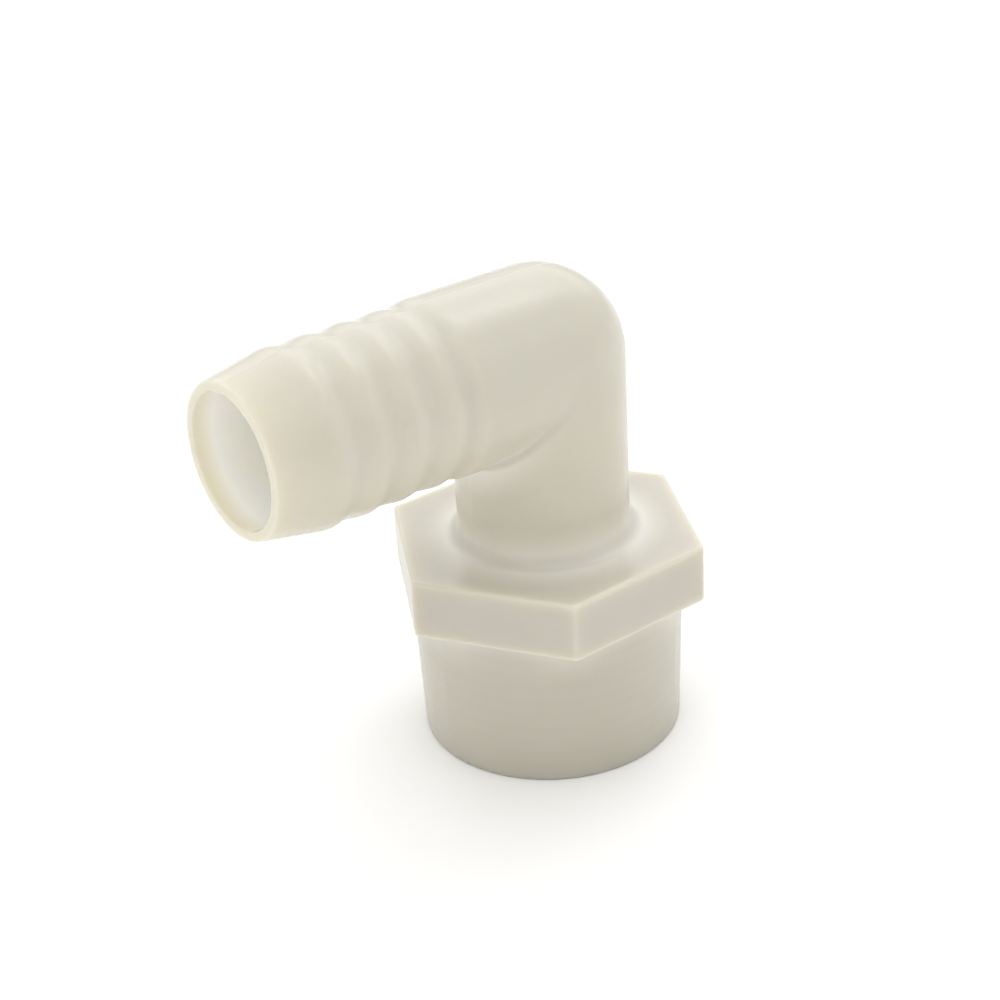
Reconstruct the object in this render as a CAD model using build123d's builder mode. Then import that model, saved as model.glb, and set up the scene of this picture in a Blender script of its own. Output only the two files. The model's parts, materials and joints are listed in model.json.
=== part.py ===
from build123d import *

# Right-angle hose elbow in moulded natural nylon: a female pipe-thread socket with a spanner hexagon,
# a short stem, a mitred 90 degree bend and a ribbed tail for hose, with a flat sealing washer in the socket.
# Millimetres. The origin is the centre of the socket's rim, +Z runs up the stem, and the tail points along -X.
import os
from math import radians, tan

# Female thread, G 3/4 parallel pipe thread
THREAD_MAJOR_D = 26.441
THREAD_MINOR_D = 24.6        # crests cut back, inside the standard's 24.117 to 24.658
THREAD_PITCH = 1.814
THREAD_FLANK = 27.5          # degrees from square to the axis
THREAD_TURNS = 9.5
THREAD_START = 0.6           # height of the groove's lower end above the rim
GROOVE_ROOT = 0.3            # flat at the bottom of the groove
GROOVE_OVERCUT = 0.2         # how far the cutting profile stands inside the minor diameter

# Socket skirt and spanner hexagon
SKIRT_RIM_R = 15.75
SKIRT_TOP_R = 16.25          # moulding draft makes the skirt wider at the hexagon
HEX_BOTTOM = 18.4
HEX_TOP = 25.5
HEX_ACROSS_FLATS = 34.0
LEAD_IN = 1.1                # chamfer at the mouth of the thread
RELIEF_R = 13.5              # plain ring above the thread, clear of a male thread's end
RELIEF_START = 17.6
SEAT_Z = 22.0                # shoulder that the washer bears on

# Stem, bend and waterway
STEM_R = 10.2
TAIL_AXIS_Z = 47.7
WATERWAY_R = 7.5

# Hose tail, as distances from the stem's axis
TAIL_TIP = 40.2
TIP_R = 8.6
TIP_EDGE = 0.4
RIB_COUNT = 4
RIB_PITCH = 4.65
FIRST_RIB = 32.5             # the crest nearest the tip
RIB_CREST_R = 10.0
RIB_VALLEY_R = 9.6
RIB_LAND = 0.3               # flat crest of each rib
RIB_STEP = 1.5               # length of the sloping face behind each crest
ROOT_START = 15.0            # the tail is as thick as the stem from here to the bend

# Sealing washer
WASHER_OUTER_R = 12.0
WASHER_INNER_R = 8.0
WASHER_THICKNESS = 2.0
WASHER_EDGE = 0.2

# Edge radii
RIM_EDGE = 0.3
HEX_CORNER = 0.8
HEX_EDGE = 0.4
STEM_FOOT = 1.5

NEAR = 0.01                  # slack when edges are picked by height or radius

os.makedirs("parts", exist_ok=True)

# x runs out along the tail and y runs up
tail_plane = Plane(origin=(0, 0, TAIL_AXIS_Z), x_dir=(-1, 0, 0), z_dir=(0, 1, 0))
tail_axis = Axis((0, 0, TAIL_AXIS_Z), (-1, 0, 0))
tail_end = Plane(origin=(-TAIL_TIP, 0, TAIL_AXIS_Z), z_dir=(1, 0, 0))


def tail_outline():
    """Half of the tail's section, from its tip to the stem's axis, as (distance, radius) points."""
    points = [(TAIL_TIP, 0), (TAIL_TIP, TIP_R)]
    for i in range(RIB_COUNT):
        crest = FIRST_RIB - i * RIB_PITCH
        points.append((crest + RIB_LAND / 2, RIB_CREST_R))
        points.append((crest - RIB_LAND / 2, RIB_CREST_R))
        points.append((crest - RIB_LAND / 2 - RIB_STEP, RIB_VALLEY_R))
    return points + [(ROOT_START, STEM_R), (0, STEM_R), (0, 0)]


def socket_outline():
    """Half of the socket's hollow, without its thread, as (radius, height) points."""
    minor_r = THREAD_MINOR_D / 2
    return [
        (0, 0),
        (minor_r + LEAD_IN, 0),
        (minor_r, LEAD_IN),
        (minor_r, RELIEF_START),
        (RELIEF_R, RELIEF_START + RELIEF_R - minor_r),
        (RELIEF_R, SEAT_Z),
        (0, SEAT_Z),
    ]


def edges_at(part, height, radius):
    """The circular edges of a part at this height with this radius."""
    rings = part.edges().filter_by(GeomType.CIRCLE)
    rings = rings.filter_by_position(Axis.Z, height - NEAR, height + NEAR)
    return rings.filter_by(lambda edge: abs(edge.radius - radius) < NEAR)


# --- thread groove, taken out of the socket's wall below ---
with BuildPart() as thread_groove:
    groove_inner_r = THREAD_MINOR_D / 2 - GROOVE_OVERCUT
    groove_depth = THREAD_MAJOR_D / 2 - groove_inner_r
    groove_mouth = GROOVE_ROOT + 2 * groove_depth * tan(radians(THREAD_FLANK))
    with BuildLine():
        path = Helix(
            pitch=THREAD_PITCH,
            height=THREAD_PITCH * THREAD_TURNS,
            radius=groove_inner_r,
            center=(0, 0, THREAD_START),
        )
    with BuildSketch(Plane(origin=path @ 0, x_dir=(1, 0, 0), z_dir=path % 0)):
        with BuildLine():
            Polyline(
                (0, -groove_mouth / 2),
                (groove_depth, -GROOVE_ROOT / 2),
                (groove_depth, GROOVE_ROOT / 2),
                (0, groove_mouth / 2),
                close=True,
            )
        make_face()
    sweep(path=path, is_frenet=True)

# --- elbow body: one moulding ---
with BuildPart() as elbow_body:
    # skirt
    with BuildSketch(Plane.XZ):
        with BuildLine():
            Polyline((0, 0), (SKIRT_RIM_R, 0), (SKIRT_TOP_R, HEX_BOTTOM), (0, HEX_BOTTOM), close=True)
        make_face()
    revolve(axis=Axis.Z)
    fillet(edges_at(elbow_body, 0, SKIRT_RIM_R), radius=RIM_EDGE)
    # hexagon, with two corners in line with the tail
    with BuildSketch(Plane.XY.offset(HEX_BOTTOM)) as hexagon:
        RegularPolygon(radius=HEX_ACROSS_FLATS / 2, side_count=6, major_radius=False)
        fillet(hexagon.vertices(), radius=HEX_CORNER)
    extrude(amount=HEX_TOP - HEX_BOTTOM)
    fillet(elbow_body.faces().sort_by(Axis.Z)[-1].edges(), radius=HEX_EDGE)
    # stem
    with BuildSketch(Plane.XY.offset(HEX_TOP)):
        Circle(STEM_R)
    extrude(amount=TAIL_AXIS_Z - HEX_TOP)
    fillet(edges_at(elbow_body, HEX_TOP, STEM_R), radius=STEM_FOOT)
    # outside of the bend
    with Locations((0, 0, TAIL_AXIS_Z)):
        Sphere(radius=STEM_R)
    # ribbed tail
    with BuildSketch(tail_plane):
        with BuildLine():
            Polyline(*tail_outline(), close=True)
        make_face()
    revolve(axis=tail_axis)
    tip_edge = elbow_body.edges().filter_by(GeomType.CIRCLE).sort_by(Axis.X)[0]
    fillet(tip_edge, radius=TIP_EDGE)
    # socket
    with BuildSketch(Plane.XZ):
        with BuildLine():
            Polyline(*socket_outline(), close=True)
        make_face()
    revolve(axis=Axis.Z, mode=Mode.SUBTRACT)
    # waterway, two straight bores that meet in the bend
    with BuildSketch(Plane.XY.offset(SEAT_Z)):
        Circle(WATERWAY_R)
    extrude(amount=TAIL_AXIS_Z - SEAT_Z, mode=Mode.SUBTRACT)
    with Locations((0, 0, TAIL_AXIS_Z)):
        Sphere(radius=WATERWAY_R, mode=Mode.SUBTRACT)
    with BuildSketch(tail_end):
        Circle(WATERWAY_R)
    extrude(amount=TAIL_TIP, mode=Mode.SUBTRACT)
    # thread
    add(thread_groove.part, mode=Mode.SUBTRACT)
elbow_body.part.label = "elbow_body"
export_step(elbow_body.part, "parts/elbow_body.step")

# --- sealing washer, flat against the shoulder ---
with BuildPart() as sealing_washer:
    with BuildSketch(Plane.XY.offset(SEAT_Z - WASHER_THICKNESS)):
        Circle(WASHER_OUTER_R)
        Circle(WASHER_INNER_R, mode=Mode.SUBTRACT)
    extrude(amount=WASHER_THICKNESS)
    chamfer(sealing_washer.edges().filter_by(GeomType.CIRCLE), length=WASHER_EDGE)
sealing_washer.part.label = "sealing_washer"
export_step(sealing_washer.part, "parts/sealing_washer.step")
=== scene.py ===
import json
import math

import bpy
import numpy as np
from mathutils import Matrix, Vector


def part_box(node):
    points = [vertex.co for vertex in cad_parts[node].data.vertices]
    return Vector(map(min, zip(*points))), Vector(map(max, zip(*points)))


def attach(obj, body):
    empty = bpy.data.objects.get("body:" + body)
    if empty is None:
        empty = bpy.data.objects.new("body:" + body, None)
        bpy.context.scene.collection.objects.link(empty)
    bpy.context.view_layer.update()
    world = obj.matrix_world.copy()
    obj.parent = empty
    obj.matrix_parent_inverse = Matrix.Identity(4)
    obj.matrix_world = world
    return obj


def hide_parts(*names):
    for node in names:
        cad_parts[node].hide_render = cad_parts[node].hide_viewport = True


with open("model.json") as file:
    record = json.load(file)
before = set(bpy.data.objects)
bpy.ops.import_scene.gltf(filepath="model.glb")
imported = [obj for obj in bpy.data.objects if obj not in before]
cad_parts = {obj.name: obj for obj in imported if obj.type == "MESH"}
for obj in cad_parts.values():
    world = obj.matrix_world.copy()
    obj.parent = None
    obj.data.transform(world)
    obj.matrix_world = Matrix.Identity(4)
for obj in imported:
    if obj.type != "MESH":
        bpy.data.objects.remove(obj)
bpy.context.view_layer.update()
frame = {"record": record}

# ---- sizes in millimetres, read from the frame where it holds them ----
MM = 0.001
mounts = {m["name"]: m for m in frame["record"]["mounts"]}
body_low, body_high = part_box("elbow_body")
washer_low, washer_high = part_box("sealing_washer")

TAIL_AXIS = mounts["hose_tail"]["pos_m"][2] / MM
STEM_R = body_high.z / MM - TAIL_AXIS
BORE_R = mounts["tail_waterway"]["dims"]["r_mm"]
CREST_R = mounts["hose_tail"]["dims"]["r_mm"]
TAIL_TIP = -body_low.x / MM
HEX_FLAT = body_high.y / MM
SEAT_Z = washer_high.z / MM
MINOR_R = mounts["socket_thread"]["dims"]["r_mm"]

RIM_R, SKIRT_TOP_R = 15.75, 16.25
HEX_BOTTOM, HEX_TOP = 18.4, 25.5
HEX_CORNER = 0.8
FOOT = 1.5                   # hollow where the stem grows out of the hexagon
CROTCH = 1.0                 # hollow in the inner corner of the bend
BORE_CROTCH = 0.4
ROOT_START = 15.0
VALLEY_R = 9.6
RIB_COUNT, RIB_PITCH, FIRST_RIB = 4, 4.65, 32.5
RIB_LAND, RIB_STEP = 0.3, 1.5
TIP_R = 8.6
MOUTH_R, LEAD_IN = MINOR_R + 1.1, 1.1
RELIEF_R, RELIEF_START = 13.5, 17.6
THREAD_MAJOR_R, THREAD_PITCH, THREAD_START = 26.441 / 2, 1.814, 0.6
GROOVE_ROOT = 0.3
FLANK = math.tan(math.radians(27.5))

RIM_EDGE = 0.3               # edge radii
LEDGE_CORNER = 0.15
HEX_UNDER_EDGE, HEX_EDGE = 0.25, 0.4
TIP_EDGE, BORE_EDGE = 0.35, 0.2
ROOT_CURVE, VALLEY_CURVE, CREST_CURVE = 3.0, 3.5, 3.0   # radii along the tail's outline
CREST_RISE = 0.05            # drawn this much higher, so that its rounding ends at the crest's radius
WASHER_HOLE_R, WASHER_EDGE = 8.0, 0.25

HEX_SINK = 0.08              # how far the moulding shrank in the middle of each flat
TOP_SINK = 0.12              # and across the hexagon's top
WITNESS_HEIGHT = 0.035       # line left where the two halves of the mould met
WITNESS_HALF_WIDTH = 0.12
EDGE_HOLD = 0.2              # a ring this close to each rounded edge keeps the flat beside it flat
LONGEST = 1.4                # longest gap between two rings on a straight run
THREAD_RINGS = 158           # rings of points from the plain ring down to the rim
GROOVE_EASE = 0.1            # softens the groove's root and crests


# ---- outlines ----
def corner_centre():
    """Distance from the axis to the centre of a hexagon corner's rounding."""
    return (HEX_FLAT - HEX_CORNER) / math.cos(math.radians(30))


def angles_round():
    """Angles round the stem, closer together at the hexagon's corners."""
    tangent = math.atan2(
        HEX_CORNER * 0.5, corner_centre() + HEX_CORNER * math.cos(math.radians(30))
    )
    half = list(np.linspace(0, tangent, 5))
    half += list(np.linspace(tangent + math.radians(0.6), math.radians(30), 13))
    sector = half + [math.radians(60) - a for a in reversed(half[1:-1])]
    return np.array([a + math.radians(60) * i for i in range(6) for a in sector])


THETA = angles_round()
COS, SIN = np.cos(THETA), np.sin(THETA)
FROM_CORNER = np.abs((THETA + math.radians(30)) % math.radians(60) - math.radians(30))
FROM_FLAT = math.radians(30) - FROM_CORNER


def witness(radius):
    """Height of the mould's witness line round a section of this radius: it runs at 0 and 180 degrees."""
    off = np.minimum(np.abs((THETA + math.pi) % (2 * math.pi) - math.pi), np.abs(THETA - math.pi))
    return WITNESS_HEIGHT * np.exp(-((off * radius / WITNESS_HALF_WIDTH) ** 2))


def hexagon(inset=0.0, sink=0.0):
    """Distance from the axis to the hexagon's outline at each angle."""
    flat = HEX_FLAT - inset
    centre = corner_centre() - inset / math.cos(math.radians(30))
    tangent = math.atan2(HEX_CORNER * 0.5, centre + HEX_CORNER * math.cos(math.radians(30)))
    under = np.maximum(HEX_CORNER**2 - (centre * np.sin(FROM_CORNER)) ** 2, 0)
    rounded_part = centre * np.cos(FROM_CORNER) + np.sqrt(under)
    flat_part = flat / np.cos(FROM_FLAT)
    outline = np.where(FROM_CORNER <= tangent + 1e-9, rounded_part, flat_part)
    dip = np.clip(1 - (FROM_FLAT / math.radians(27)) ** 2, 0, 1) ** 2
    return outline - sink * dip + witness(HEX_FLAT)


def spaced(length):
    """Places along a straight run, from 0 to 1 without its ends, with one held close to each end."""
    if length < 3 * EDGE_HOLD:
        return []
    inner = length - 2 * EDGE_HOLD
    count = max(1, math.ceil(inner / LONGEST))
    return [(EDGE_HOLD + inner * i / count) / length for i in range(count + 1)]


def rounded(points, radii, step=11.25):
    """A line through the points, with each inner corner rounded to its radius."""
    line = [np.array(points[0], float)]

    def run_to(end):
        start = line[-1]
        length = float(np.linalg.norm(end - start))
        line.extend(start + (end - start) * t for t in spaced(length))
        if length > 1e-6:
            line.append(end)

    for before, corner, after, radius in zip(points, points[1:], points[2:], radii):
        before, corner, after = (np.array(p, float) for p in (before, corner, after))
        back = (before - corner) / np.linalg.norm(before - corner)
        on = (after - corner) / np.linalg.norm(after - corner)
        opening = math.acos(np.clip(back @ on, -1, 1))
        reach = radius / math.tan(opening / 2)
        middle = corner + (back + on) / np.linalg.norm(back + on) * radius / math.sin(opening / 2)
        first, last = corner + back * reach, corner + on * reach
        run_to(first)
        turn = math.pi - opening
        count = max(2, math.ceil(math.degrees(turn) / step))
        a, b = first - middle, last - middle
        for i in range(1, count + 1):
            t = i / count
            arc = (math.sin((1 - t) * turn) * a + math.sin(t * turn) * b) / math.sin(turn)
            line.append(middle + arc)
    run_to(np.array(points[-1], float))
    return line


# ---- rings of points: each crosses every angle once ----
def level(radius, z):
    """A ring round the stem's axis."""
    radius = radius + np.zeros_like(THETA)
    return np.stack([radius * COS, radius * SIN, z + np.zeros_like(THETA)], axis=1)


def upright(distance, radius):
    """A ring round the tail's axis, this far out along it."""
    radius = radius + np.zeros_like(THETA)
    distance = distance + np.zeros_like(THETA)
    return np.stack([-distance, radius * SIN, TAIL_AXIS + radius * COS], axis=1)


def turn_radius(offset, crotch):
    """Radius of the bend along the line at this offset from the tube's axis.

    Outside the axis it is the offset itself, which makes the outer corner round like a ball;
    inside, it is the small hollow of the crotch.
    """
    over = offset - crotch
    return crotch + (over + np.sqrt(over**2 + 1)) / 2


def bend_rings(radius, crotch, count):
    """Rings round the bend of a tube of this radius, from the stem to the tail."""
    offset = radius * COS
    turn = turn_radius(offset, crotch)
    rings = []
    for i in range(count + 1):
        a = math.radians(90) * i / count
        x = offset - turn + turn * math.cos(a)
        z = TAIL_AXIS + offset - turn + turn * math.sin(a)
        rings.append(np.stack([x, radius * SIN, z], axis=1))
    return rings


def between(first, last, count):
    """Rings from one to another, without either."""
    return [first + (last - first) * i / count for i in range(1, count)]


def skirt_rings():
    line = rounded(
        [(MOUTH_R + EDGE_HOLD, 0), (RIM_R, 0), (SKIRT_TOP_R, HEX_BOTTOM), (SKIRT_TOP_R + 0.2, HEX_BOTTOM)],
        [RIM_EDGE, LEDGE_CORNER],
    )
    return [level(r + (witness(RIM_R) if z > RIM_EDGE + 0.1 else 0), z) for r, z in line]


def hexagon_rings():
    """The hexagon's ledge, side and top, up to the foot of the stem."""
    rings = []
    low, high = HEX_UNDER_EDGE, HEX_EDGE
    for inset, z in rounded(
        [(1, HEX_BOTTOM), (0, HEX_BOTTOM), (0, HEX_TOP), (2, HEX_TOP)], [low, high]
    ):
        if inset > low + 1e-6 and z < HEX_BOTTOM + low:
            continue
        if inset > high + 1e-6:
            continue
        share = math.sin(math.pi * (z - HEX_BOTTOM) / (HEX_TOP - HEX_BOTTOM))
        rings.append(level(hexagon(inset, HEX_SINK * share), z))
    outline, foot = hexagon(high), STEM_R + FOOT
    for share in (0.06, 0.2, 0.4, 0.6, 0.8, 0.94):
        dip = TOP_SINK * math.sin(math.pi * share) ** 2
        rings.append(level(outline + (foot - outline) * share, HEX_TOP - dip))
    for i in range(9):
        a = math.radians(90) * i / 8
        r = foot - FOOT * math.sin(a)
        rings.append(level(r, HEX_TOP + FOOT - FOOT * math.cos(a)))
    return rings


def tail_outline():
    """Half of the tail's section, from its root over the tip into the bore, as (distance, radius)."""
    points, radii = [(ROOT_START - 2, STEM_R), (ROOT_START, STEM_R)], [ROOT_CURVE]
    for i in reversed(range(RIB_COUNT)):
        crest = FIRST_RIB - i * RIB_PITCH
        points.append((crest - RIB_LAND / 2 - RIB_STEP, VALLEY_R))
        points.append((crest, CREST_R + CREST_RISE))
        radii += [VALLEY_CURVE, CREST_CURVE]
    points += [(TAIL_TIP, TIP_R), (TAIL_TIP, BORE_R), (TAIL_TIP - 3, BORE_R)]
    radii += [TIP_EDGE, BORE_EDGE]
    return rounded(points, radii, step=15)


def groove_radius(z):
    """Radius of the thread's groove at this height, at each angle. It is 0 outside the groove."""
    turns = (z - THREAD_START) / THREAD_PITCH - THETA / (2 * math.pi)
    off = np.abs(turns - np.round(turns)) * THREAD_PITCH
    depth_lost = np.maximum(off - GROOVE_ROOT / 2, 0) / FLANK
    depth_lost = (depth_lost + np.sqrt(depth_lost**2 + GROOVE_EASE**2)) / 2
    return np.where(np.round(turns) >= 0, THREAD_MAJOR_R + GROOVE_EASE / 2 - depth_lost, 0)


def socket_rings():
    """From the seat down through the relief and the thread to the mouth."""
    seat = rounded(
        [(BORE_R, SEAT_Z + 2), (BORE_R, SEAT_Z), (RELIEF_R, SEAT_Z),
         (RELIEF_R, RELIEF_START + RELIEF_R - MINOR_R), (MINOR_R + 0.2, RELIEF_START + 0.2)],
        [0.2, 0.3, 0.2],
    )
    rings = [level(r, z) for r, z in seat]
    for i in range(1, THREAD_RINGS + 1):
        z = (RELIEF_START + 0.2) * (1 - i / THREAD_RINGS)
        wall = max(MINOR_R, MOUTH_R - z, MINOR_R + z - RELIEF_START)
        rings.append(level(np.maximum(wall, groove_radius(z)), z))
    return rings


def body_rings():
    """The whole skin of the moulding: up the outside, over the tip, and back through the waterway."""
    outer_bend = bend_rings(STEM_R + witness(STEM_R), CROTCH, 32)
    inner_bend = bend_rings(BORE_R + np.zeros_like(THETA), BORE_CROTCH, 24)
    rings = skirt_rings() + hexagon_rings()
    stem_top = level(STEM_R + witness(STEM_R), HEX_TOP + FOOT + 0.4)
    rings.append(stem_top)
    rings += between(stem_top, outer_bend[0], 12) + outer_bend
    outline = tail_outline()
    d, r = outline[0]
    root = upright(d, r + witness(STEM_R))
    rings += between(outer_bend[-1], root, 4)
    rings += [upright(d, r + (witness(STEM_R) if r > BORE_R + 0.3 else 0)) for d, r in outline]
    rings += between(rings[-1], inner_bend[-1], 20)
    rings += inner_bend[::-1]
    socket = socket_rings()
    rings += between(rings[-1], socket[0], 12)
    return rings + socket


def closed_mesh(name, rings):
    """A ring-shaped skin through all the rings and back to the first."""
    kept = [rings[0]]
    for ring in rings[1:]:
        if np.abs(ring - kept[-1]).max() > 1e-4:
            kept.append(ring)
    points = np.array(kept) * MM
    rows, columns = points.shape[:2]
    index = np.arange(rows * columns).reshape(rows, columns)
    right, below = np.roll(index, -1, axis=1), np.roll(index, -1, axis=0)
    faces = np.stack([index, right, np.roll(right, -1, axis=0), below], axis=-1).reshape(-1, 4)
    mesh = bpy.data.meshes.new(name)
    mesh.from_pydata(points.reshape(-1, 3).tolist(), [], faces.tolist())
    mesh.polygons.foreach_set("use_smooth", np.ones(len(mesh.polygons), bool))
    mesh.validate()
    mesh.update()
    piece = bpy.data.objects.new(name, mesh)
    bpy.context.scene.collection.objects.link(piece)
    return piece


def washer_rings():
    """The washer's section, round its own edge."""
    low, high = washer_low.z / MM, washer_high.z / MM
    outer, inner = washer_high.x / MM, WASHER_HOLE_R
    middle = (inner + outer) / 2
    line = rounded(
        [(middle, low), (outer, low), (outer, high), (inner, high), (inner, low), (middle, low)],
        [WASHER_EDGE] * 4,
    )
    return [level(r, z) for r, z in line[:-1]]


# ---- materials ----
NYLON_DARK, NYLON_LIGHT = (0.575, 0.555, 0.475, 1), (0.61, 0.59, 0.515, 1)
# painted light: paler colours that stand in for light the milky walls carry into hollows and into the bore
NYLON_PAINTED_HOLLOW_LIGHT = (0.88, 0.86, 0.785, 1)
NYLON_PAINTED_BORE_LIGHT = (0.95, 0.93, 0.88, 1)
MEAN_PATH = 0.0035           # metres that light goes in the milky wall before it scatters
HOLLOW_REACH = 0.005         # metres within which a wall makes a hollow
HOLLOW_GAIN = 2.2
LIP_FADE = (0.1, 0.7)        # the bore's painted light ends this far outside the bore's radius
MOUTH_FADE = 2.5             # and this far in from the tip
RING_GAIN = 0.2              # strength of the rings painted on the skirt as light and shade of the thread inside
WAVE_UNIT = 20               # Blender's wave texture turns by this many radians per unit of scale
PAINTED_SHADE_TOP = 50               # painted shade: the colour darkens from this height down
PAINTED_SHADE_STOPS = [                    # (share of that height, factor of painted shade on the colour)
    (0, (0.80, 0.79, 0.76)),
    (0.12, (0.87, 0.86, 0.84)),
    (0.36, (0.92, 0.91, 0.90)),
    (0.4, (0.95, 0.94, 0.96)),
    (0.52, (0.96, 0.95, 0.96)),
    (0.58, (0.96, 0.95, 0.92)),
    (0.8, (1, 0.985, 0.95)),
    (1, (1, 1, 1)),
]


def new_material(name):
    material = bpy.data.materials.new(name)
    material.use_nodes = True
    tree = material.node_tree
    return material, tree, tree.nodes["Principled BSDF"]


def node(tree, kind, **inputs):
    """A new node with these inputs set, such as From_Min for "From Min"."""
    made = tree.nodes.new(kind)
    for key, value in inputs.items():
        made.inputs[key.replace("_", " ")].default_value = value
    return made


def object_noise(tree, scale, detail, roughness=0.5):
    where = tree.nodes.new("ShaderNodeTexCoord")
    noise = node(tree, "ShaderNodeTexNoise", Scale=scale, Detail=detail, Roughness=roughness)
    tree.links.new(where.outputs["Object"], noise.inputs["Vector"])
    return noise


def feed(tree, entry, value):
    """Give a socket a fixed value, or link another node's output to it."""
    if isinstance(value, bpy.types.NodeSocket):
        tree.links.new(value, entry)
    else:
        entry.default_value = value


def colour_mix(tree, factor, first, second, blend="MIX"):
    mix = tree.nodes.new("ShaderNodeMix")
    mix.data_type = "RGBA"
    mix.blend_type = blend
    feed(tree, mix.inputs["Factor"], factor)
    feed(tree, mix.inputs["A"], first)
    feed(tree, mix.inputs["B"], second)
    return mix.outputs["Result"]


def maths(tree, operation, *values):
    made = tree.nodes.new("ShaderNodeMath")
    made.operation = operation
    for entry, value in zip(made.inputs, values):
        feed(tree, entry, value)
    return made.outputs["Value"]


def ramp_between(tree, value, low, high, smooth=False):
    """0 where the value is low, 1 where it is high. low may be the larger number."""
    made = node(tree, "ShaderNodeMapRange", From_Min=low, From_Max=high)
    if smooth:
        made.interpolation_type = "SMOOTHSTEP"
    tree.links.new(value, made.inputs["Value"])
    return made.outputs["Result"]


def place_in_object(tree):
    """The point's own coordinates in metres: as a vector, and as X, Y and Z."""
    where = tree.nodes.new("ShaderNodeTexCoord")
    split = tree.nodes.new("ShaderNodeSeparateXYZ")
    tree.links.new(where.outputs["Object"], split.inputs["Vector"])
    return where.outputs["Object"], split.outputs


def painted_hollow_light(tree):
    """0 out in the open, rising in corners and inside the bore, which are coloured paler: painted light
    that stands in for light the milky walls carry into the hollows.
    """
    openness = node(tree, "ShaderNodeAmbientOcclusion", Distance=HOLLOW_REACH)
    openness.samples = 8
    openness.only_local = True
    return ramp_between(tree, openness.outputs["AO"], 1, 1 - 1 / HOLLOW_GAIN)


def painted_bore_light(tree):
    """1 on the wall of the tail's bore, fading to 0 across the lip and before the bend: where the wall
    gets a paler colour, painted light that stands in for light through the thin walls.
    """
    point, along = place_in_object(tree)
    off_axis = tree.nodes.new("ShaderNodeVectorMath")
    off_axis.operation = "MULTIPLY_ADD"
    off_axis.inputs[1].default_value = (0, 1, 1)
    off_axis.inputs[2].default_value = (0, 0, -TAIL_AXIS * MM)
    radius = tree.nodes.new("ShaderNodeVectorMath")
    radius.operation = "LENGTH"
    tree.links.new(point, off_axis.inputs[0])
    tree.links.new(off_axis.outputs["Vector"], radius.inputs[0])
    inner, outer = ((BORE_R + fade) * MM for fade in LIP_FADE)
    on_wall = ramp_between(tree, radius.outputs["Value"], outer, inner, smooth=True)
    past_lip = ramp_between(tree, along["X"], -TAIL_TIP * MM, (MOUTH_FADE - TAIL_TIP) * MM)
    before_bend = ramp_between(tree, along["X"], 0.5 * BORE_R * MM, -BORE_R * MM)
    return maths(tree, "MULTIPLY", maths(tree, "MULTIPLY", on_wall, past_lip), before_bend)


def painted_thread_shade(tree):
    """Faint level rings painted on the skirt, one for each turn of the thread: painted light and shade of
    the thread inside, seen through the milky wall.
    """
    point, along = place_in_object(tree)
    bands = node(tree, "ShaderNodeTexWave", Scale=2 * math.pi / (WAVE_UNIT * THREAD_PITCH * MM))
    bands.bands_direction = "Z"
    tree.links.new(point, bands.inputs["Vector"])
    on_skirt = maths(tree, "LESS_THAN", along["Z"], RELIEF_START * MM)
    return maths(tree, "MULTIPLY", bands.outputs["Fac"], on_skirt)


def painted_shade_by_height(tree):
    """A factor on the colour, painted shade: the hexagon and the skirt are a little darker than the stem
    and the tail, and the colour darkens further towards the floor.
    """
    along = place_in_object(tree)[1]
    ramp = tree.nodes.new("ShaderNodeValToRGB")
    while len(ramp.color_ramp.elements) < len(PAINTED_SHADE_STOPS):
        ramp.color_ramp.elements.new(1)
    for stop, (share, colour) in zip(ramp.color_ramp.elements, PAINTED_SHADE_STOPS):
        stop.position = share
        stop.color = (*colour, 1)
    tree.links.new(ramp_between(tree, along["Z"], 0, PAINTED_SHADE_TOP * MM), ramp.inputs["Fac"])
    return ramp.outputs["Color"]


def natural_nylon():
    material, tree, shader = new_material("natural_nylon_moulded")
    shader.inputs["Roughness"].default_value = 0.25
    shader.inputs["IOR"].default_value = 1.53
    shader.inputs["Subsurface Weight"].default_value = 1.0
    shader.inputs["Subsurface Radius"].default_value = (1.0, 0.88, 0.65)
    shader.inputs["Subsurface Scale"].default_value = MEAN_PATH
    cloud = object_noise(tree, 140, 3)
    # the nylon's own mottled tone, plus the painted thread rings
    shade = maths(tree, "MULTIPLY_ADD", painted_thread_shade(tree), RING_GAIN, cloud.outputs["Fac"])
    tint = colour_mix(tree, shade, NYLON_DARK, NYLON_LIGHT)
    # painted shade: darker towards the floor
    with_painted_shade = colour_mix(tree, 1, tint, painted_shade_by_height(tree), "MULTIPLY")
    # painted light: paler colour in corners and in the bore
    pale = colour_mix(tree, painted_hollow_light(tree), with_painted_shade, NYLON_PAINTED_HOLLOW_LIGHT)
    # painted light: paler colour on the bore's wall
    bore = colour_mix(tree, painted_bore_light(tree), pale, NYLON_PAINTED_BORE_LIGHT)
    tree.links.new(bore, shader.inputs["Base Color"])
    grain = object_noise(tree, 2200, 4)
    sink = object_noise(tree, 120, 2)
    fine = node(tree, "ShaderNodeBump", Strength=0.12, Distance=0.00005)
    broad = node(tree, "ShaderNodeBump", Strength=0.5, Distance=0.0002)
    tree.links.new(grain.outputs["Fac"], fine.inputs["Height"])
    tree.links.new(sink.outputs["Fac"], broad.inputs["Height"])
    tree.links.new(fine.outputs["Normal"], broad.inputs["Normal"])
    tree.links.new(broad.outputs["Normal"], shader.inputs["Normal"])
    return material


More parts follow.
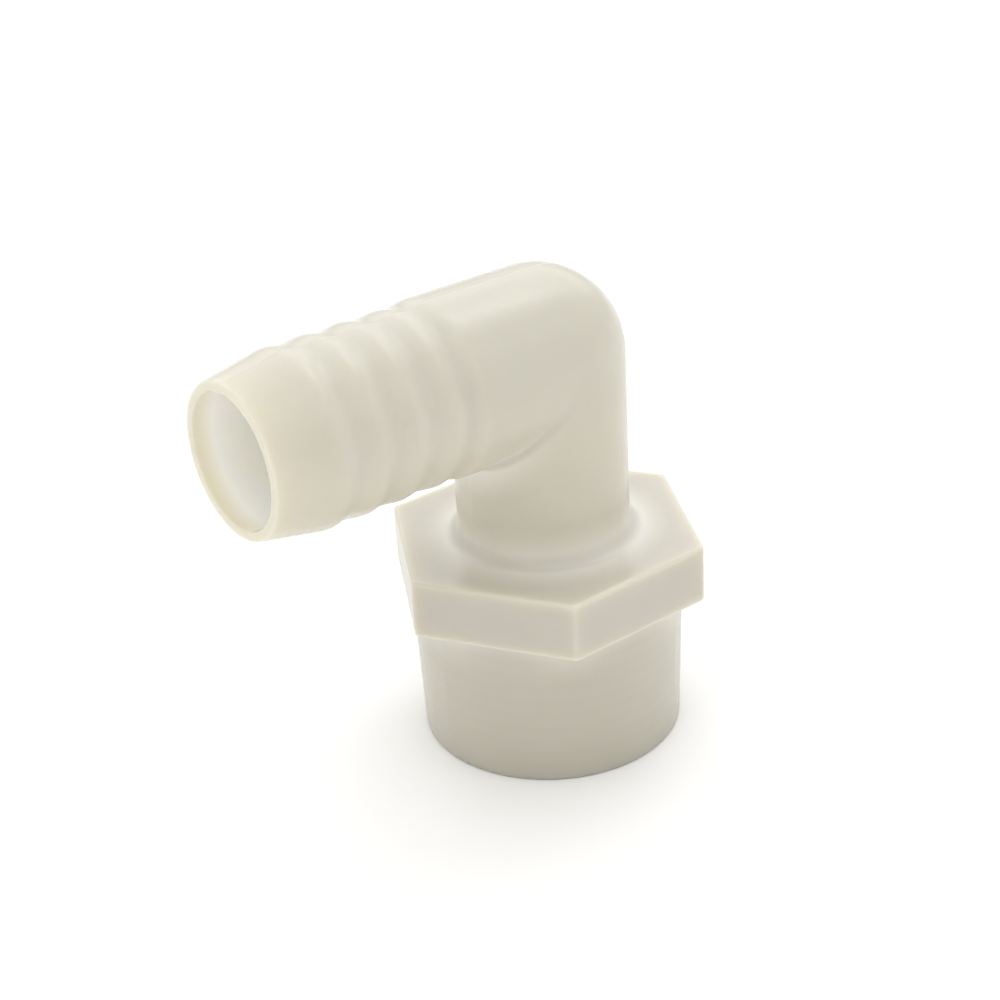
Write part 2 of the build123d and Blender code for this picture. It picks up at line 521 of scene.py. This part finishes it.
def washer_rubber():
    material, tree, shader = new_material("washer_rubber_moulded")
    shader.inputs["Roughness"].default_value = 0.7
    grain = object_noise(tree, 1500, 5)
    ramp = tree.nodes.new("ShaderNodeValToRGB")
    ramp.color_ramp.elements[0].color = (0.012, 0.012, 0.013, 1)
    ramp.color_ramp.elements[1].color = (0.035, 0.035, 0.036, 1)
    tree.links.new(grain.outputs["Fac"], ramp.inputs["Fac"])
    tree.links.new(ramp.outputs["Color"], shader.inputs["Base Color"])
    bump = node(tree, "ShaderNodeBump", Strength=0.3, Distance=0.00005)
    tree.links.new(grain.outputs["Fac"], bump.inputs["Height"])
    tree.links.new(bump.outputs["Normal"], shader.inputs["Normal"])
    return material


def floor_paint():
    material, tree, shader = new_material("pale_floor")
    shader.inputs["Roughness"].default_value = 0.9
    shader.inputs["Specular IOR Level"].default_value = 0.1
    shader.inputs["Base Color"].default_value = (0.96, 0.96, 0.96, 1)
    return material


# ---- pieces ----
def place(piece, node_name, material):
    piece.data.materials.append(material)
    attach(piece, "root")
    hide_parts(node_name)


place(closed_mesh("elbow_moulding", body_rings()), "elbow_body", natural_nylon())
place(closed_mesh("washer_ring", washer_rings()), "sealing_washer", washer_rubber())


# ---- floor, light and camera ----
FLOOR_HALF = 3.0             # metres
FLOOR_GAP = 0.00002          # under the rim, so that the two never share a plane
COOL, WARM = (0.93, 0.965, 1), (1, 0.975, 0.94)


def floor():
    corners = [(x * FLOOR_HALF, y * FLOOR_HALF, 0) for x, y in ((-1, -1), (1, -1), (1, 1), (-1, 1))]
    mesh = bpy.data.meshes.new("floor")
    mesh.from_pydata(corners, [], [(0, 1, 2, 3)])
    made = bpy.data.objects.new("floor", mesh)
    bpy.context.scene.collection.objects.link(made)
    mesh.materials.append(floor_paint())
    made.location.z = body_low.z - FLOOR_GAP


def toward(azimuth, elevation):
    """The way out to a lamp or the camera. Azimuth 0 stands on the -Y side, as the front view does."""
    a, e = math.radians(azimuth), math.radians(elevation)
    return Vector((math.sin(a) * math.cos(e), -math.cos(a) * math.cos(e), math.sin(e)))


def hang(name, data, azimuth, elevation, aim=Vector(), distance=0.0):
    """Put a lamp this far out from aim, looking back at it."""
    back = toward(azimuth, elevation)
    data.color = COOL
    lamp = bpy.data.objects.new(name, data)
    lamp.location = aim + back * distance
    lamp.rotation_euler = back.to_track_quat("Z", "Y").to_euler()
    bpy.context.scene.collection.objects.link(lamp)


def soft_light(name, azimuth, elevation, distance, size, radiance, aim):
    """A rectangular softbox."""
    data = bpy.data.lights.new(name, "AREA")
    data.shape = "RECTANGLE"
    data.size, data.size_y = size
    data.energy = radiance * math.pi * size[0] * size[1]
    hang(name, data, azimuth, elevation, aim, distance)


def spot(name, azimuth, elevation, distance, spread, energy, aim):
    """A narrow soft-edged beam."""
    data = bpy.data.lights.new(name, "SPOT")
    data.spot_size = math.radians(spread)
    data.spot_blend = 1
    data.shadow_soft_size = 0.01
    data.energy = energy
    hang(name, data, azimuth, elevation, aim, distance)


def sun(name, azimuth, elevation, spread, strength):
    """Light from the whole of a wide patch of sky, the same all over the floor."""
    data = bpy.data.lights.new(name, "SUN")
    data.angle = math.radians(spread)
    data.energy = strength
    hang(name, data, azimuth, elevation)


def sky(strength):
    world = bpy.data.worlds.new("studio")
    world.use_nodes = True
    world.node_tree.nodes["Background"].inputs["Color"].default_value = (*WARM, 1)
    world.node_tree.nodes["Background"].inputs["Strength"].default_value = strength
    bpy.context.scene.world = world


VIEW_AZIMUTH, VIEW_ELEVATION, VIEW_ROLL = -37.17, 26.93, -3.53
VIEW_DISTANCE = 213.45
VIEW_AIM_HEIGHT, AIM_RIGHT, AIM_UP = 30.6, -4.93, -1.52
LENS = 65.52


def camera():
    back, roll = toward(VIEW_AZIMUTH, VIEW_ELEVATION), math.radians(VIEW_ROLL)
    level_right = (-back).cross(Vector((0, 0, 1))).normalized()
    level_up = level_right.cross(-back)
    right = level_right * math.cos(roll) + level_up * math.sin(roll)
    up = level_up * math.cos(roll) - level_right * math.sin(roll)
    aim = Vector((0, 0, VIEW_AIM_HEIGHT)) + right * AIM_RIGHT + up * AIM_UP
    data = bpy.data.cameras.new("camera")
    data.lens = LENS
    data.sensor_width = 36
    data.clip_start = 0.005
    made = bpy.data.objects.new("camera", data)
    turn = Matrix((right, up, back)).transposed().to_4x4()
    made.matrix_world = Matrix.Translation((aim + back * VIEW_DISTANCE) * MM) @ turn
    bpy.context.scene.collection.objects.link(made)
    bpy.context.scene.camera = made


floor()
middle = Vector((-0.01, 0, 0.03))
mouth = Vector((-TAIL_TIP - 0.8, 0, TAIL_AXIS)) * MM     # just outside the tail's tip
sky(0.78)
sun("top_light", 180, 82, 130, 0.5)
soft_light("back_panel", 135, 50, 2.5, (3.4, 3.4), 0.75, middle)
soft_light("left_panel", -135, 50, 2.5, (3.4, 3.4), 0.12, middle)
soft_light("near_softbox", -30, 65, 0.25, (0.18, 0.18), 0.6, Vector((-0.01, 0, 0.05)))
soft_light("left_softbox", -75, 4, 0.6, (0.4, 0.3), 0.45, middle)
soft_light("right_softbox", 35, 25, 0.6, (0.4, 0.4), 0.3, middle)
soft_light("strip", 108.7, 55.2, 1.0, (0.35, 0.05), 6, middle)
spot("mouth_spot", -48, 20, 0.3, 5.5, 0.3, mouth)
camera()
bpy.context.scene.view_settings.view_transform = "Standard"
